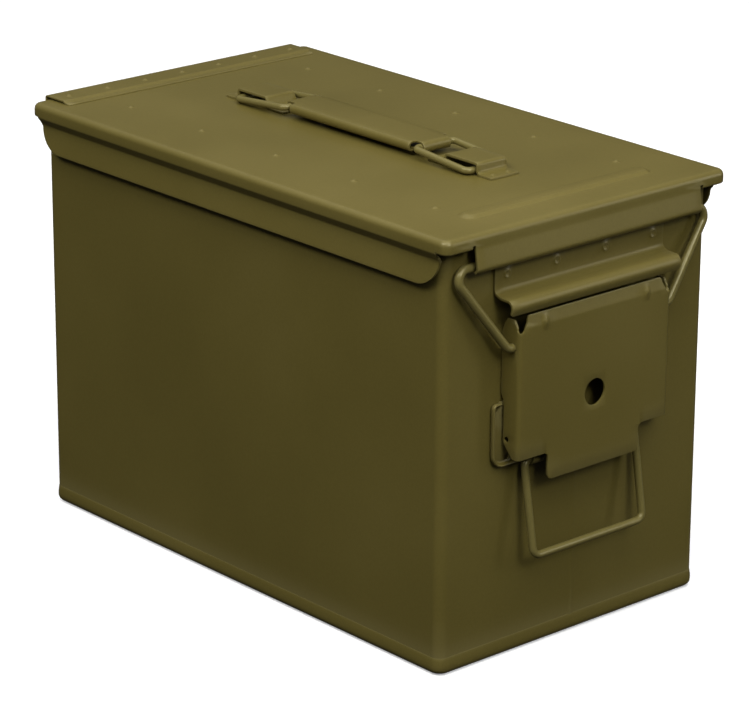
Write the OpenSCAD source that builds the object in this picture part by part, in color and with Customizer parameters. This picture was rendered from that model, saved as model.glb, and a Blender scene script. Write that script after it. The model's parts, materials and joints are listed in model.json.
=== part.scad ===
// Pressed-steel storage can with a hinged lid, an over-centre latch and two handles.
// Millimetres. +Z is up, the length runs along Y and the latch faces -Y.
// The origin is the middle of the base, at floor level.

/* [Body] */
// Length of the body, front wall to rear wall
body_l = 305; // [295:1:315]
// Width of the body
body_w = 175; // [168:1:182]
// Height of the body's open rim
rim_z = 214; // [212:1:214]
// Radius of the body's upright corners
corner_r = 5; // [3:1:8]
// Thickness of the pressed sheet
sheet = 1.2; // [1:0.1:1.3]

/* [Lid] */
// Height of the lid's top face above the floor
lid_top = 220.8; // [220.5:0.1:221.5]
// How far the lid's bead stands out past the walls
bead_out = 5.6; // [5:0.1:5.6]
// Height of the bottom edge of the long skirts
skirt_z = 195.6; // [194:0.5:200]
// Half width of the front flap that the latch bail hooks behind
flap_half = 75; // [70:1:76]
// Distance of the two rows of lid welds from the middle
weld_row_x = 60; // [50:1:64]

/* [Latch] */
// Half width of the lever
lever_half = 50.4; // [48:0.1:50.4]
// Height of the lever's lower edge
lever_low = 105; // [104:1:108]
// Height of the lower edge of the lever's centre tab
tab_low = 91; // [90:1:96]
// Diameter of the bail wire
bail_d = 4.4; // [4:0.1:4.4]
// Half width of the catch strip
catch_half = 56; // [52:0.5:56]

/* [Front handle] */
// Diameter of the front handle wire
front_wire_d = 3.8; // [3.4:0.1:3.8]
// Half width between the centre lines of the front handle's legs
front_half = 37.1; // [36:0.1:38]
// Length of the front handle's legs
front_leg = 47.9; // [44:0.1:50]

/* [Top handle] */
// Diameter of the ring wire
ring_d = 3.5; // [3.2:0.1:3.5]
// Half width between the centre lines of a ring's sides
ring_half = 12.8; // [12.6:0.1:14]
// Half width of the grip
grip_half = 13; // [10:0.5:13.5]
// Half width of the straps that hold the rings down
strap_half = 9.5; // [8:0.5:10]

/* [Hidden] */
$fn = 48;
olive = [0.36, 0.34, 0.19];
olive_dark = [0.30, 0.29, 0.16];
half_l = body_l / 2;
half_w = body_w / 2;
play = 0.06;                       // radial clearance of a turning wire or pin

// Bottom pan
pan_high = 9;
pan_out = 0.6;
pan_edge = 4;
pan_step = 3;                      // height of the ledge that the walls stand on

// Hinge
hinge_y = half_l + 3.5;
hinge_z = 207;
knuckle_r = 3.2;
pin_r = 1.8;
leaf = 1.0;
leaf_half = 81;
strip_half = 83;
strip_front = 140;
knuckle_edge = [16, 49];           // where the knuckles change from lid to body, from the middle
knuckle_gap = 0.5;

// Lid
lid_under = lid_top - sheet;
bead_low = 213.5;
front_out = 1.9;                   // how much further the bead stands out at the front
skirt_corner = 16;

// Latch, as distances in front of the front wall and heights
hook = [11, 176.6];                // line that the lever turns about
bail_pivot = [8, 160.8];             // line that the bail turns about
bail_bar = [3, 203.6];              // centre of the bail's top bar
bail_r = bail_d / 2;
lever_face = 13;                   // the lever's outer face
flange_back = 0.6;
flange_foot = 2.6;                 // where the flange clears the tray's floor
lip_half = 44.2;

// Front handle
front_pivot = [3.4, 100];
front_tilt = 9.7;                  // how far the handle leans out where it rests
front_r = front_wire_d / 2;
loop_span = [26.5, 33.5];

// Top handle
ring_r = ring_d / 2;
ring_in = [49.5, 226.2];            // inner crossbar, distance from the middle and height
ring_out = [87.5, 223.15];         // outer crossbar
strap_top = 227.5;
strap_rise = [66, 91.2];           // the raised stretch of a strap
strap_feet = [55, 101];
foot_top = lid_top + sheet;

// Points of an arc about c from angle a0 to a1
function arc(c, r, a0, a1, n = 6) =
    [for (i = [0:n]) c + r * [cos(a0 + (a1 - a0) * i / n), sin(a0 + (a1 - a0) * i / n)]];

// Outline of a rectangle with rounded corners, centred
function rounded(w, l, r, n = 6) = concat(
    arc([w / 2 - r, l / 2 - r], r, 0, 90, n), arc([r - w / 2, l / 2 - r], r, 90, 180, n),
    arc([r - w / 2, r - l / 2], r, 180, 270, n), arc([w / 2 - r, r - l / 2], r, 270, 360, n));

function unit(v) = v / norm(v);
function left_of(v) = [-v[1], v[0]];

// Direction of a line of points at point i
function heading(p, i) = unit(
    (i < len(p) - 1 ? unit(p[i + 1] - p[i]) : [0, 0]) + (i > 0 ? unit(p[i] - p[i - 1]) : [0, 0]));

// Outline of a sheet of thickness t that follows the centre line p
function band(p, t) = concat(
    [for (i = [0:len(p) - 1]) p[i] + left_of(heading(p, i)) * t / 2],
    [for (i = [len(p) - 1:-1:0]) p[i] - left_of(heading(p, i)) * t / 2]);

// Points given as (distance in front of the front wall, height) as (y, z), and for the rear wall
function at_front(p) = [for (q = p) [-(half_l + q[0]), q[1]]];
function at_rear(p) = [for (q = p) [half_l + q[0], q[1]]];

// Extrudes an outline drawn in (y, z) along X, from x0 to x1
module along_x(x0, x1) {
    translate([x0, 0, 0])
        rotate([90, 0, 90])
            linear_extrude(height = x1 - x0)
                children();
}

// Extrudes an outline drawn in (x, z) along Y, from y0 to y1
module along_y(y0, y1) {
    translate([0, y1, 0])
        rotate([90, 0, 0])
            linear_extrude(height = y1 - y0)
                children();
}

// Box between two corners
module block(a, b) {
    translate(a)
        cube(b - a);
}

// Round bar along X at (y, z)
module bar_x(y, z, x0, x1, r) {
    translate([x0, y, z])
        rotate([0, 90, 0])
            cylinder(h = x1 - x0, r = r);
}

// Bent wire in the XY plane: straight lengths joined by round bends
function turn(p, i) = let (a = p[i] - p[i - 1], b = p[i + 1] - p[i])
    acos((a * b) / (norm(a) * norm(b)));
function trim(p, i, bend) = (i <= 0 || i >= len(p) - 1) ? 0 : bend * tan(turn(p, i) / 2);
module wire(p, bend, r) {
    for (i = [0:len(p) - 2]) {
        u = unit(p[i + 1] - p[i]);
        a = p[i] + u * trim(p, i, bend);
        b = p[i + 1] - u * trim(p, i + 1, bend);
        translate([a[0], a[1], 0])
            rotate([0, 90, atan2(u[1], u[0])])
                cylinder(h = norm(b - a), r = r);
    }
    for (i = [1:len(p) - 2]) {
        u = unit(p[i] - p[i - 1]);
        v = unit(p[i + 1] - p[i]);
        side = (u[0] * v[1] - u[1] * v[0]) > 0 ? 1 : -1;
        start = p[i] - u * trim(p, i, bend);
        end = p[i] + v * trim(p, i, bend);
        c = start + left_of(u) * side * bend;
        from = side > 0 ? start - c : end - c;
        translate([c[0], c[1], 0])
            rotate([0, 0, atan2(from[1], from[0])])
                rotate_extrude(angle = turn(p, i))
                    translate([bend, 0])
                        circle(r = r);
    }
}

// The same kind of wire for slanting legs: one skin of rings along the rounded centre line
function side_of(p, i) = let (a = p[i] - p[i - 1], b = p[i + 1] - p[i])
    (a[0] * b[1] - a[1] * b[0]) > 0 ? 1 : -1;
function corner(p, i, bend, n = 7) = let (
    start = p[i] - unit(p[i] - p[i - 1]) * trim(p, i, bend),
    c = start + left_of(unit(p[i] - p[i - 1])) * side_of(p, i) * bend,
    a0 = atan2(start[1] - c[1], start[0] - c[0]))
    arc(c, bend, a0, a0 + side_of(p, i) * turn(p, i), n);
function rounded_path(p, bend) = concat([p[0]],
    [for (i = [1:len(p) - 2]) each corner(p, i, bend)], [p[len(p) - 1]]);
module wire_skin(p, bend, r, sides = 12) {
    q = rounded_path(p, bend);
    points = [for (i = [0:len(q) - 1], k = [0:sides - 1])
        let (s = left_of(heading(q, i)) * r * cos(360 * k / sides))
        [q[i][0] + s[0], q[i][1] + s[1], r * sin(360 * k / sides)]];
    walls = [for (i = [0:len(q) - 2], k = [0:sides - 1]) let (m = (k + 1) % sides)
        [i * sides + k, (i + 1) * sides + k, (i + 1) * sides + m, i * sides + m]];
    caps = [[for (k = [0:sides - 1]) k],
            [for (k = [sides - 1:-1:0]) (len(q) - 1) * sides + k]];
    polyhedron(points, concat(walls, caps));
}

module body_shell() {
    color(olive)
        difference() {
            translate([0, 0, pan_step])
                linear_extrude(height = rim_z - pan_step)
                    polygon(rounded(body_w, body_l, corner_r));
            linear_extrude(height = rim_z + 1)
                polygon(rounded(body_w - 2 * sheet, body_l - 2 * sheet, corner_r - sheet));
        }
}

// Pressed tray that caps the bottom, with a rounded lower edge
module bottom_pan() {
    lap = 2 * pan_out;
    color(olive)
        difference() {
            hull() {
                linear_extrude(height = 0.01)
                    polygon(rounded(body_w + lap - 6, body_l + lap - 6, corner_r, 4));
                translate([0, 0, 1.2])
                    linear_extrude(height = 0.01)
                        polygon(rounded(body_w + lap - 2, body_l + lap - 2, corner_r, 4));
                translate([0, 0, pan_edge])
                    linear_extrude(height = pan_high - pan_edge)
                        polygon(rounded(body_w + lap, body_l + lap, corner_r, 4));
            }
            translate([0, 0, pan_step])
                linear_extrude(height = pan_high)
                    polygon(rounded(body_w, body_l, corner_r));
            translate([0, 0, sheet])
                linear_extrude(height = pan_high)
                    polygon(rounded(body_w - 6, body_l - 6, corner_r - 3));
        }
}

// Strip welded to the front wall, rolled out over the top of the lever
catch_line = concat([[0.6, 201.5]], arc([5.6, 190.4], 5, 180, 265, 5), [[9.6, 185]],
    arc([10.4, 182], 3, 80, 0, 5), [[13.4, 180.6]], [[12.9, 178.9]]);
catch_weld_x = [-48.3, -16.1, 16.1, 48.3];
catch_weld_z = 195.3;
module latch_catch() {
    color(olive) {
        along_x(-catch_half, catch_half)
            polygon(band(at_front(catch_line), sheet));
        for (x = catch_weld_x)
            translate([x, -half_l - sheet + 0.4, catch_weld_z])
                rotate([90, 0, 0])
                    cylinder(h = 0.9, r = 2);
    }
}

// Shallow tray behind the foot of the lever: its rim is open over the middle, above and below
module lever_bracket() {
    half = 57;
    low = 99.4;
    high = 132;
    deep = 3.2;
    corner = 7;
    wire_hole = [46.5, 103];
    color(olive_dark)
        difference() {
            along_y(-half_l - deep, -half_l)
                translate([0, (low + high) / 2])
                    polygon(rounded(2 * half, high - low, corner));
            along_y(-half_l - deep - 1, -half_l - sheet)
                translate([0, (low + high) / 2])
                    polygon(rounded(2 * (half - sheet), high - low - 2 * sheet, corner - sheet));
            block([-51.5, -half_l - deep - 1, high - 2 * sheet], [51.5, -half_l - sheet, high + 1]);
            block([-41, -half_l - deep - 1, low - 1], [41, -half_l + 1, 103.6]);
            for (side = [-1, 1])
                translate([side * wire_hole[0], -half_l - deep, wire_hole[1]])
                    rotate([-90, 0, 0])
                        cylinder(h = 2 * deep, r = 1.5);
        }
}

// Rolled loop that carries one end of the front handle, drawn for +X: its foot is on the tray
module handle_loop() {
    outer = front_r + play + 1.2;
    y = -half_l - front_pivot[0];
    z = front_pivot[1];
    back = -half_l - sheet - 0.02;
    difference() {
        union() {
            bar_x(y, z, loop_span[0], loop_span[1], outer);
            block([loop_span[0], back - sheet, z + 2], [loop_span[1], back, z + 11]);
        }
        bar_x(y, z, loop_span[0] - 1, loop_span[1] + 1, front_r + play);
    }
}
module handle_loop_left() {
    color(olive_dark)
        mirror([1, 0, 0])
            handle_loop();
}
module handle_loop_right() {
    color(olive_dark)
        handle_loop();
}

// Knuckles about the hinge line over the given stretches of x, with their bore
module knuckles(spans) {
    for (s = spans)
        difference() {
            bar_x(hinge_y, hinge_z, s[0], s[1], knuckle_r);
            bar_x(hinge_y, hinge_z, s[0] - 1, s[1] + 1, pin_r + play);
        }
}
lid_spans = [[-leaf_half, -knuckle_edge[1]], [-knuckle_edge[0], knuckle_edge[0]],
             [knuckle_edge[1], leaf_half]];
body_spans = [[-knuckle_edge[1] + knuckle_gap, -knuckle_edge[0] - knuckle_gap],
              [knuckle_edge[0] + knuckle_gap, knuckle_edge[1] - knuckle_gap]];
module hinge_body_leaf() {
    color(olive) {
        block([-leaf_half, half_l, 186], [leaf_half, half_l + leaf, 202.5]);
        for (s = body_spans)
            difference() {
                block([s[0], half_l, 202], [s[1], half_l + leaf, hinge_z]);
                bar_x(hinge_y, hinge_z, s[0] - 1, s[1] + 1, pin_r + play);
            }
        knuckles(body_spans);
    }
}
module hinge_lid_leaf() {
    back = hinge_y + knuckle_r;
    weld_y = 147.6;
    color(olive) {
        block([-strip_half, strip_front, lid_top], [strip_half, back, foot_top]);
        block([-strip_half, back - leaf, 211.2], [strip_half, back, foot_top]);
        for (s = lid_spans)
            block([s[0], back - leaf, hinge_z], [s[1], back, 212]);
        knuckles(lid_spans);
        for (x = [-75:25:75])
            translate([x, weld_y, foot_top - 0.4])
                cylinder(h = 0.9, r = 2);
    }
}
module hinge_pin(x0, x1) {
    color([0.45, 0.45, 0.42])
        bar_x(hinge_y, hinge_z, x0, x1, pin_r);
}

// Centre lines of the lid's edge, as distance past the wall and height
edge_in = [-6, lid_top - sheet / 2];
bead_r = 3.2;
bead_c = [bead_out - sheet / 2 - bead_r, lid_top - sheet / 2 - bead_r];
bead_line = concat([edge_in], arc(bead_c, bead_r, 90, -10, 6));
long_line = concat(bead_line, [[4.9, 213.8], [4.3, 212.6], [2.5, 209.4], [2.1, 208],
    [2.1, skirt_z]]);
short_line = concat(bead_line, [[4.6, bead_low]]);
front_line = concat([edge_in], [for (q = short_line) q + [front_out, 0]]);
flap_line = concat([edge_in, [5.2, lid_top - sheet / 2]], arc([5.2, 217.4], 2.8, 75, 10, 4),
    [[8, 206]], [[7.9, 204]], [[7.5, 202.8]]);
module lid_shell() {
    reach = half_w + bead_out;
    color(olive) {
        // Top sheet with its raised rib and the marks of the inner welds
        translate([0, 0, lid_under])
            linear_extrude(height = sheet)
                polygon(rounded(body_w + 4, body_l + 4, 3));
        translate([0, -136, lid_under + 0.5])
            linear_extrude(height = sheet + 0.9)
                polygon(rounded(124, 10, 4.9));
        for (x = [-weld_row_x, weld_row_x], y = [-2:2])
            translate([x, y * 58.2, lid_top - 0.5])
                cylinder(h = 0.8, r = 2);
        // Long sides: bead, hollow and skirt, with the skirt's ends rounded up to the bead
        for (side = [0, 1])
            mirror([side, 0, 0])
                intersection() {
                    along_y(-half_l - bead_out - front_out, half_l + bead_out)
                        polygon(band([for (q = long_line) [half_w + q[0], q[1]]], sheet));
                    along_x(0, reach + 1)
                        polygon(concat(
                            [[half_l + 8, 222], [-half_l - 8, 222], [-half_l - 8, bead_low]],
                            arc([skirt_corner - half_l - 1, bead_low - 1.5], skirt_corner,
                                180, 270, 8),
                            arc([half_l + 1 - skirt_corner, bead_low - 1.5], skirt_corner,
                                270, 360, 8),
                            [[half_l + 8, bead_low]]));
                }
        // Ends: bead right across, and the flap at the front
        along_x(-reach, reach)
            polygon(band(at_rear(short_line), sheet));
        for (side = [0, 1])
            mirror([side, 0, 0])
                along_x(flap_half - 1, reach)
                    polygon(band(at_front(front_line), sheet));
        along_x(-flap_half, flap_half)
            polygon(band(at_front(flap_line), sheet));
    }
}

module lid_gasket() {
    color([0.08, 0.08, 0.08])
        translate([0, 0, rim_z + 0.4])
            linear_extrude(height = lid_under - rim_z - 0.4)
                difference() {
                    polygon(rounded(body_w, body_l, corner_r));
                    polygon(rounded(body_w - 14, body_l - 14, corner_r));
                }
}

// Rail welded under the lid along the inner edge of the seal, drawn for +X
module gasket_rail() {
    rail = [[weld_row_x - 6, lid_under - 0.5], [weld_row_x + 7, lid_under - 0.5],
            [weld_row_x + 10, lid_under - 3.4], [weld_row_x + 19, lid_under - 3.4]];
    along_y(-141, 141)
        polygon(band(rail, 1.0));
}
module gasket_rail_left() {
    color(olive_dark)
        mirror([1, 0, 0])
            gasket_rail();
}
module gasket_rail_right() {
    color(olive_dark)
        gasket_rail();
}

// Strap that holds a ring's outer crossbar, drawn for the rear end of the handle
module handle_strap() {
    mid = sheet / 2;
    line = [[strap_feet[0], lid_top + mid], [strap_rise[0] - 1, lid_top + mid],
            [strap_rise[0] + 2, strap_top - mid - 0.6], [strap_rise[0] + 3, strap_top - mid],
            [strap_rise[1] - 1.6, strap_top - mid], [strap_rise[1] - mid, strap_top - mid - 1],
            [strap_rise[1] - mid + 0.3, lid_top + mid + 0.6],
            [strap_rise[1] + 1, lid_top + mid], [strap_feet[1], lid_top + mid]];
    along_x(-strap_half, strap_half)
        polygon(band(line, sheet));
    for (x = [-5, 5], y = [59, 97.5])
        translate([x, y, foot_top - 0.2])
            cylinder(h = 0.6, r = 1.6);
}
module handle_strap_front() {
    color(olive)
        mirror([0, 1, 0])
            handle_strap();
}
module handle_strap_rear() {
    color(olive)
        handle_strap();
}

// Ring in the plane through its two crossbars, drawn for the rear end of the handle
ring_drop = ring_in[1] - ring_out[1];
ring_run = ring_out[0] - ring_in[0];
ring_len = norm([ring_run, ring_drop]);
module handle_ring() {
    translate([0, ring_in[0], ring_in[1]])
        rotate([-atan2(ring_drop, ring_run), 0, 0])
            wire([[0.5, 0], [ring_half, 0], [ring_half, ring_len], [-ring_half, ring_len],
                  [-ring_half, 0], [-0.5, 0]], 2.6, ring_r);
}
module handle_ring_front() {
    color(olive)
        mirror([0, 1, 0])
            handle_ring();
}
module handle_ring_rear() {
    color(olive)
        handle_ring();
}

// Sheet grip with rolled edges, its ends curled round the rings' inner crossbars
module handle_grip() {
    curl = ring_r + play + sheet;
    top = ring_in[1] + curl;
    edge_r = 2.4;
    line = concat([[-grip_half + 0.6, 222.9]],
        arc([-grip_half + edge_r + 0.6, top - 1.2 - edge_r], edge_r, 180, 100, 5),
        [[0, top - sheet / 2]],
        arc([grip_half - edge_r - 0.6, top - 1.2 - edge_r], edge_r, 80, 0, 5),
        [[grip_half - 0.6, 222.9]]);
    wrap = 9.5;
    color(olive)
        difference() {
            union() {
                along_y(-ring_in[0] + 3, ring_in[0] - 3)
                    polygon(band(line, sheet));
                for (side = [-1, 1]) {
                    bar_x(side * ring_in[0], ring_in[1], -wrap, wrap, curl);
                    block([-wrap, side > 0 ? ring_in[0] - 4 : -ring_in[0], top - sheet],
                          [wrap, side > 0 ? ring_in[0] : 4 - ring_in[0], top]);
                }
            }
            for (side = [-1, 1])
                bar_x(side * ring_in[0], ring_in[1], -wrap - 1, wrap + 1, ring_r + play);
        }
}

// Pressed lever: face, side flanges, centre tab and a lip that hooks under the catch
lever_top = 169;
lip_line = concat([[lever_face - sheet / 2, lever_top - 2]],
    [[lever_face - sheet / 2, lever_top]], [[lever_face - 1.3, lever_top + 3.4]],
    [[hook[0] + 0.2, hook[1] - 0.2]]);
seal_hole = [4.9, 114];
centre_hole_z = 128.5;
centre_hole_r = 6.8;
module latch_lever() {
    y_face = -half_l - lever_face;
    color(olive)
        difference() {
            union() {
                // Face and tab
                along_y(y_face, y_face + sheet) {
                    translate([-lever_half, lever_low])
                        square([2 * lever_half, lever_top - lever_low]);
                    translate([0, (tab_low + lever_low + 6) / 2])
                        polygon(rounded(61, lever_low + 6 - tab_low, 3));
                }
                along_x(-lip_half, lip_half)
                    polygon(band(at_front(lip_line), sheet));
                bar_x(-half_l - hook[0], hook[1], -lip_half, lip_half, 0.9);
                // Flanges
                for (side = [0, 1])
                    mirror([side, 0, 0])
                        along_x(lever_half - sheet, lever_half)
                            polygon(at_front([[lever_face, lever_low], [9, lever_low],
                                [flange_foot, 112], [flange_foot, 133.5],
                                [flange_back, 136.5], [flange_back, 166], [3, 174.5],
                                [9, 174.5], [lever_face - 0.4, 170.5], [lever_face, 169]]));
            }
            translate([0, y_face - 1, centre_hole_z])
                rotate([-90, 0, 0])
                    cylinder(h = sheet + 2, r = centre_hole_r);
            bar_x(-half_l - bail_pivot[0], bail_pivot[1], -60, 60, bail_r + play);
            bar_x(-half_l - seal_hole[0], seal_hole[1], -60, 60, 1.5);
        }
}

// Bail wire: bar behind the lid's flap, legs down to the lever's flanges
bail_rise = bail_bar[1] - bail_pivot[1];
bail_lean = bail_pivot[0] - bail_bar[0];
bail_len = norm([bail_rise, bail_lean]);
module latch_bail() {
    end = 51;                      // where the turned ends join the legs
    foot = 53.6;
    shoulder = 86.3;
    color(olive)
        translate([0, -half_l - bail_pivot[0], bail_pivot[1]])
            rotate([90 - atan2(bail_lean, bail_rise), 0, 0]) {
                wire_skin([[end, 0], [foot, 0], [shoulder, bail_len], [-shoulder, bail_len],
                           [-foot, 0], [-end, 0]], 5, bail_r);
                for (side = [0, 1])
                    mirror([side, 0, 0])
                        bar_x(0, 0, 43, end - 0.02, bail_r);
            }
}

module front_handle() {
    color(olive)
        translate([0, -half_l - front_pivot[0], front_pivot[1]])
            rotate([90 - front_tilt, 0, 0])
                wire([[24.2, 0], [front_half, 0], [front_half, -front_leg],
                      [-front_half, -front_leg], [-front_half, 0], [-24.2, 0]], 2.8, front_r);
}

body_shell();
bottom_pan();
latch_catch();
lever_bracket();
handle_loop_left();
handle_loop_right();
hinge_body_leaf();
hinge_pin(-leaf_half - 0.5, -1);  // hinge_pin_left
hinge_pin(1, leaf_half + 0.5);  // hinge_pin_right
lid_shell();
lid_gasket();
gasket_rail_left();
gasket_rail_right();
hinge_lid_leaf();
handle_strap_front();
handle_strap_rear();
handle_grip();
handle_ring_front();
handle_ring_rear();
latch_lever();
latch_bail();
front_handle();
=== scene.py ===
"""A pressed-steel can with a hinged lid, a front latch and two handles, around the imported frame.

Sizes are in millimetres, and mesh_piece() turns them into metres. Places come from the frame's boxes
and joints. A bent sheet is a flat blank (u, v) that a place function folds, and a wire is a swept tube.
"""

import json
import math

import bmesh
import bpy
import numpy as np
from mathutils import Matrix, Vector
from mathutils.geometry import delaunay_2d_cdt


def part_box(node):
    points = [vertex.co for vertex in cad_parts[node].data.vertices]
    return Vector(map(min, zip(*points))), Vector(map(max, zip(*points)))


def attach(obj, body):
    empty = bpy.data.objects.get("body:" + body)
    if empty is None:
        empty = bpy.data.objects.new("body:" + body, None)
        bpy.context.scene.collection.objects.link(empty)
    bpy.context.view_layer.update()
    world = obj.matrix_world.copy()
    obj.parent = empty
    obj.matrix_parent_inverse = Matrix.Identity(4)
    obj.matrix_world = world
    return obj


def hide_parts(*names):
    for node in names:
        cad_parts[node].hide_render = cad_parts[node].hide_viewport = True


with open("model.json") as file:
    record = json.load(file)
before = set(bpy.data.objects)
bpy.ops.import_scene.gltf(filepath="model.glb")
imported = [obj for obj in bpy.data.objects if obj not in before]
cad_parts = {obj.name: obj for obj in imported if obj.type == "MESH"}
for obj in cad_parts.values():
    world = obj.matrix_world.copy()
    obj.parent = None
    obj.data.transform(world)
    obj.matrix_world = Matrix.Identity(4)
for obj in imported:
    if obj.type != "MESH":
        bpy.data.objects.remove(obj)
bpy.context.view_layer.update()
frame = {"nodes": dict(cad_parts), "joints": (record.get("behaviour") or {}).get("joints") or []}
MM = 0.001


# ---------------------------------------------------------------- places taken from the frame

def edges(node):
    """Lowest and highest corner of a CAD node, in millimetres."""
    low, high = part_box(node)
    return low / MM, high / MM


def pivot(joint):
    """A joint's point, in millimetres."""
    found = next(j for j in frame["joints"] if j["name"] == joint)
    return Vector(found["pos_m"]) / MM


SHELL_LOW, SHELL_HIGH = edges("body_shell")
HALF_W = SHELL_HIGH.x
FRONT = SHELL_LOW.y
REAR = SHELL_HIGH.y
RIM_Z = SHELL_HIGH.z
LID_TOP = edges("handle_strap_rear")[0].z
SKIRT_Z = edges("lid_shell")[0].z
SHEET = 1.2
CORNER_R = 5.0

HINGE = pivot("lid_hinge")
HOOK = pivot("latch_swing")
HOOK_OUT = FRONT - HOOK.y
BAIL_PIVOT = pivot("bail_turn")
HANDLE_PIVOT = pivot("front_handle_swing")
RING_PIVOT = pivot("ring_rear_turn")


# ---------------------------------------------------------------- lines and outlines

def arc(cx, cy, r, a0, a1, n=8):
    """Points of an arc, angles in degrees."""
    angles = [math.radians(a0 + (a1 - a0) * i / n) for i in range(n + 1)]
    return [(cx + r * math.cos(a), cy + r * math.sin(a)) for a in angles]


def smooth_path(points, radius, per_quarter=7):
    """The corner points, in 2 or 3 dimensions, with each inner corner rounded to the radius."""
    pts = [Vector(p) for p in points]
    out = [pts[0]]
    for a, b, c in zip(pts, pts[1:], pts[2:]):
        u, v = (a - b), (c - b)
        room = 0.49 * min(u.length, v.length)
        u.normalize()
        v.normalize()
        turn = math.pi - u.angle(v)
        if turn < 0.01:
            out.append(b)
            continue
        trim = min(radius * math.tan(turn / 2), room)
        r = trim / math.tan(turn / 2)
        centre = b + (u + v).normalized() * (r / math.cos(turn / 2))
        start, end = b + u * trim - centre, b + v * trim - centre
        n = max(2, math.ceil(per_quarter * turn / (math.pi / 2)))
        for i in range(n + 1):
            f = i / n
            weights = math.sin((1 - f) * turn), math.sin(f * turn)
            out.append(centre + (start * weights[0] + end * weights[1]) / math.sin(turn))
    out.append(pts[-1])
    return out


def mirrored(half):
    """A closed outline from its right half, which runs from x = 0 or more round to x = 0 or more."""
    return list(half) + [(-u, v) for u, v in reversed(half)]


def rounded_outline(points, radius, per_quarter=5):
    """A closed outline with every corner rounded."""
    pts = [Vector(p) for p in points]
    start = (pts[0] + pts[-1]) / 2
    return [tuple(p) for p in smooth_path([start] + pts + [start], radius, per_quarter)[:-1]]


def steps(low, high, step):
    """Evenly spaced values from low to high, no further apart than step."""
    n = max(1, math.ceil((high - low) / step))
    return [low + (high - low) * i / n for i in range(n + 1)]


def merged(values, gap):
    """Sorted values with those closer than the gap dropped."""
    out = []
    for v in sorted(values):
        if not out or v - out[-1] >= gap:
            out.append(v)
    return out


class Track:
    """A line of 2-D points that is read by its length."""

    def __init__(self, points):
        self.p = np.array([tuple(q)[:2] for q in points], float)
        self.s = np.concatenate([[0], np.cumsum(np.linalg.norm(np.diff(self.p, axis=0), axis=1))])
        self.length = float(self.s[-1])

    def at(self, s):
        """The point at length s, carried on straight past either end."""
        if s < 0 or s > self.length:
            i, j = (0, 1) if s < 0 else (-2, -1)
            way = (self.p[j] - self.p[i]) / np.linalg.norm(self.p[j] - self.p[i])
            return self.p[0] + way * s if s < 0 else self.p[-1] + way * (s - self.length)
        return np.array([np.interp(s, self.s, self.p[:, k]) for k in (0, 1)])

    def bends(self, step):
        """Lengths to sample at: closely where the line bends, widely where it runs straight."""
        out = [0.0]
        for a, b in zip(self.s, self.s[1:]):
            out += steps(a, b, step)[1:]
        return merged(out, 0.25)


# ---------------------------------------------------------------- meshes

def mesh_piece(name, body, material, verts, faces, stands_for=(), bevel=0.3):
    """One piece from millimetre points: its edges rounded, smooth, riding on a body."""
    data = bpy.data.meshes.new(name)
    data.from_pydata([tuple(float(c) * MM for c in v) for v in verts], [], faces)
    piece = bpy.data.objects.new(name, data)
    bpy.context.scene.collection.objects.link(piece)
    bm = bmesh.new()
    bm.from_mesh(data)
    bmesh.ops.recalc_face_normals(bm, faces=bm.faces)
    bm.to_mesh(data)
    bm.free()
    if bevel:
        modifier = piece.modifiers.new("edge", "BEVEL")
        modifier.width = bevel * MM
        modifier.segments = 2
        modifier.limit_method = "ANGLE"
        modifier.angle_limit = math.radians(50)
    bake_modifiers(piece)
    piece.data.materials.append(material)
    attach(piece, body)
    if stands_for:
        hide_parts(*stands_for)
    return piece


def bake_modifiers(piece):
    """Turns a new piece's modifiers into mesh and shades it smooth up to sharp edges."""
    graph = bpy.context.evaluated_depsgraph_get()
    graph.update()
    data = bpy.data.meshes.new_from_object(piece.evaluated_get(graph))
    piece.modifiers.clear()
    piece.data = data
    data.polygons.foreach_set("use_smooth", [True] * len(data.polygons))
    data.set_sharp_from_angle(angle=math.radians(38))


def inside(points, loop):
    """Which of the points lie inside a closed loop."""
    x, y = points[:, 0], points[:, 1]
    hit = np.zeros(len(points), bool)
    for (x0, y0), (x1, y1) in zip(loop, np.roll(loop, -1, axis=0)):
        if y0 != y1:
            crosses = (y0 > y) != (y1 > y)
            hit ^= crosses & (x < (x1 - x0) * (y - y0) / (y1 - y0) + x0)
    return hit


def clear_of(points, loop, gap):
    """Which of the points keep the gap from a loop's edges."""
    far = np.ones(len(points), bool)
    for a, b in zip(loop, np.roll(loop, -1, axis=0)):
        d = b - a
        t = np.clip(((points - a) @ d) / max(d @ d, 1e-12), 0, 1)
        far &= np.linalg.norm(points - (a + t[:, None] * d), axis=1) > gap
    return far


def cut_at_grid(loop, us, vs, gap=0.2):
    """A closed loop with points added where it crosses the grid lines."""
    out = []
    for a, b in zip(loop, loop[1:] + loop[:1]):
        a, b = np.array(a, float), np.array(b, float)
        cuts = [0.0]
        for k, lines in ((0, us), (1, vs)):
            if abs(b[k] - a[k]) > 1e-6:
                cuts += [t for t in ((c - a[k]) / (b[k] - a[k]) for c in lines) if 0 < t < 1]
        length = max(np.linalg.norm(b - a), 1e-9)
        ends = [t for t in merged(cuts, gap / length) if t == 0 or t < 1 - gap / length]
        out += [a + (b - a) * t for t in ends]
    return np.array(out)


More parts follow.
